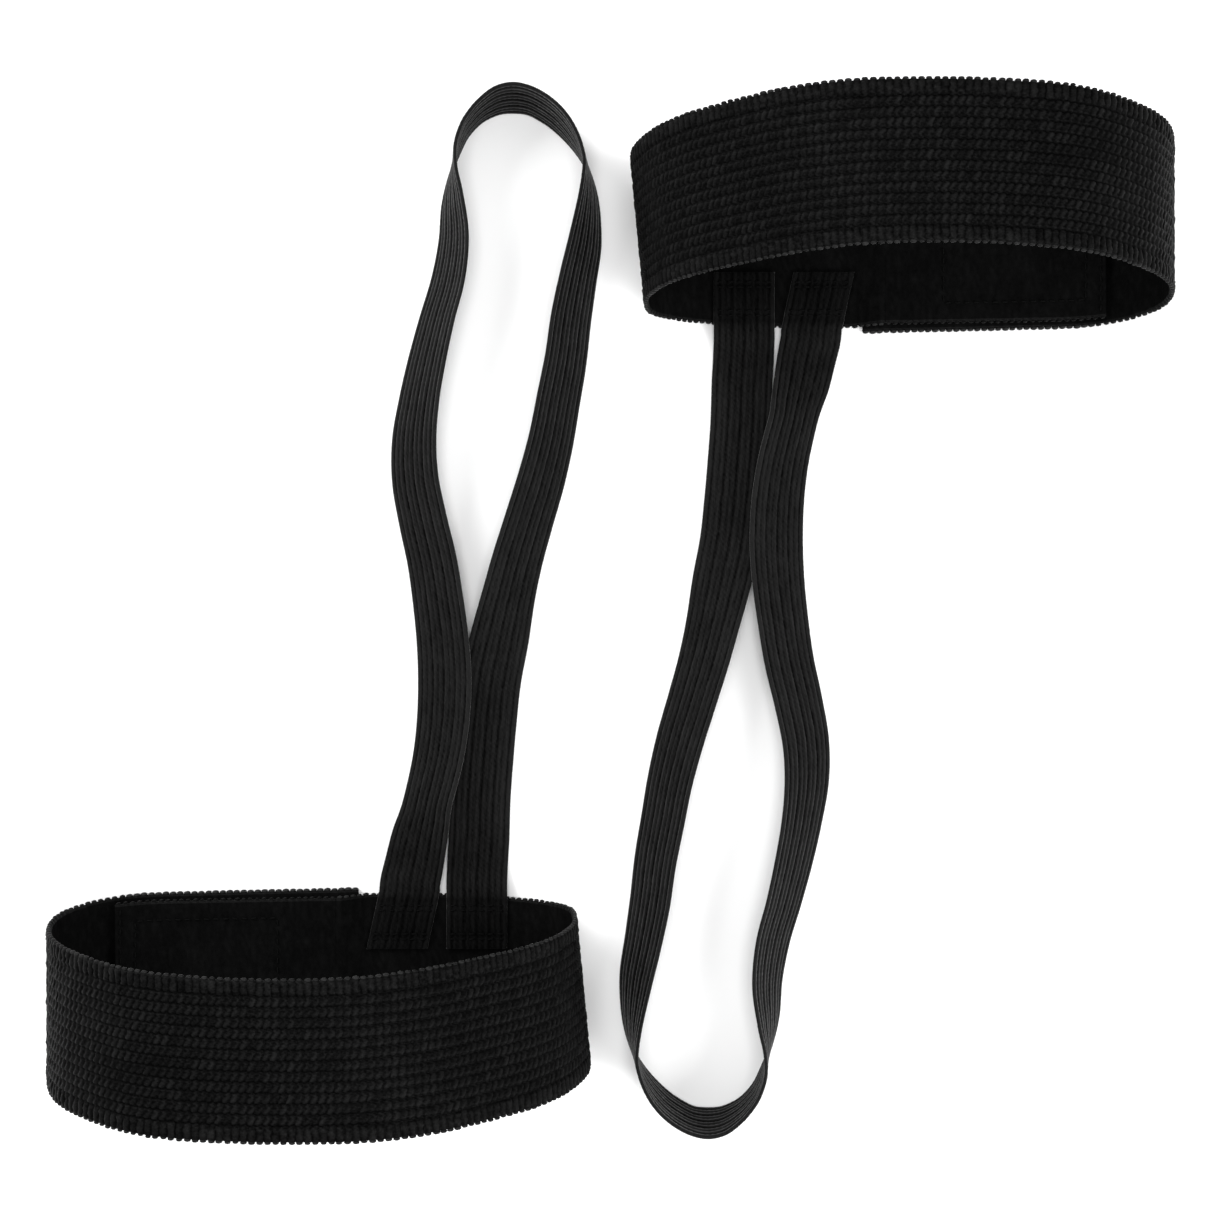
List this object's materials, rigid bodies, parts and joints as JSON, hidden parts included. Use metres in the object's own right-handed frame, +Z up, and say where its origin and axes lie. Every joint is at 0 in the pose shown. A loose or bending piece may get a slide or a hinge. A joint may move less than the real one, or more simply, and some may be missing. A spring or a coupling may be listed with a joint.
{
  "type": "elastic calf strap with foot loop",
  "caption": "Pair of black elastic leg straps: a wide knitted cuff closed by hook and loop tape, with a narrow ribbed loop that passes under the foot.",
  "frame": {"origin": "on the surface the straps lie on, midway between them: the centre of the bottom of the pair's box", "axes": "+Z up from the surface; +X along the pair, from the left strap to the right one; +Y from the left cuff towards its foot loop"},
  "size_m": [0.3414, 0.3284, 0.0845],
  "materials": {
    "knit_elastic": "matt knitted polyester elastic",
    "ribbed_elastic": "ribbed braided elastic with a slight sheen",
    "hook_tape": "hooked nylon tape",
    "loop_tape": "brushed loop tape",
    "thread": "polyester sewing thread"
  },
  "bodies": {
    "left_cuff": {"left_cuff_band": "knit_elastic", "left_hook_tape": "hook_tape", "left_stirrup_ends": "ribbed_elastic", "left_stirrup_rim_stitching": "thread", "left_stirrup_end_stitching": "thread", "left_hook_tape_stitching": "thread", "left_band_end_stitching": "thread"},
    "left_tongue": {"left_cuff_tongue": "knit_elastic", "left_loop_tape": "loop_tape", "left_loop_tape_stitching": "thread", "left_tongue_end_stitching": "thread"},
    "left_stirrup": {"left_stirrup_loop": "ribbed_elastic"},
    "right_cuff": {"right_cuff_band": "knit_elastic", "right_hook_tape": "hook_tape", "right_stirrup_ends": "ribbed_elastic", "right_stirrup_rim_stitching": "thread", "right_stirrup_end_stitching": "thread", "right_hook_tape_stitching": "thread", "right_band_end_stitching": "thread"},
    "right_tongue": {"right_cuff_tongue": "knit_elastic", "right_loop_tape": "loop_tape", "right_loop_tape_stitching": "thread", "right_tongue_end_stitching": "thread"},
    "right_stirrup": {"right_stirrup_loop": "ribbed_elastic"}
  },
  "joints": [
    {"name": "left_closure_open", "type": "hinge", "parent": "left_cuff", "child": "left_tongue", "pos_m": [-0.087, -0.113, 0.0061], "axis": [0, 1, 0], "range_deg": [0, 75]},
    {"name": "left_stirrup_fold", "type": "hinge", "parent": "left_cuff", "child": "left_stirrup", "pos_m": [-0.053, -0.0892, 0.0031], "axis": [1, 0, 0], "range_deg": [0, 90]},
    {"name": "right_closure_open", "type": "hinge", "parent": "right_cuff", "child": "right_tongue", "pos_m": [0.087, 0.113, 0.0061], "axis": [0, -1, 0], "range_deg": [0, 75]},
    {"name": "right_stirrup_fold", "type": "hinge", "parent": "right_cuff", "child": "right_stirrup", "pos_m": [0.053, 0.0892, 0.0031], "axis": [-1, 0, 0], "range_deg": [0, 90]},
    {"name": "right_strap_apart", "type": "slide", "parent": "left_cuff", "child": "right_cuff", "axis": [1, 0, 0], "range_m": [0, 0.12]}
  ]
}
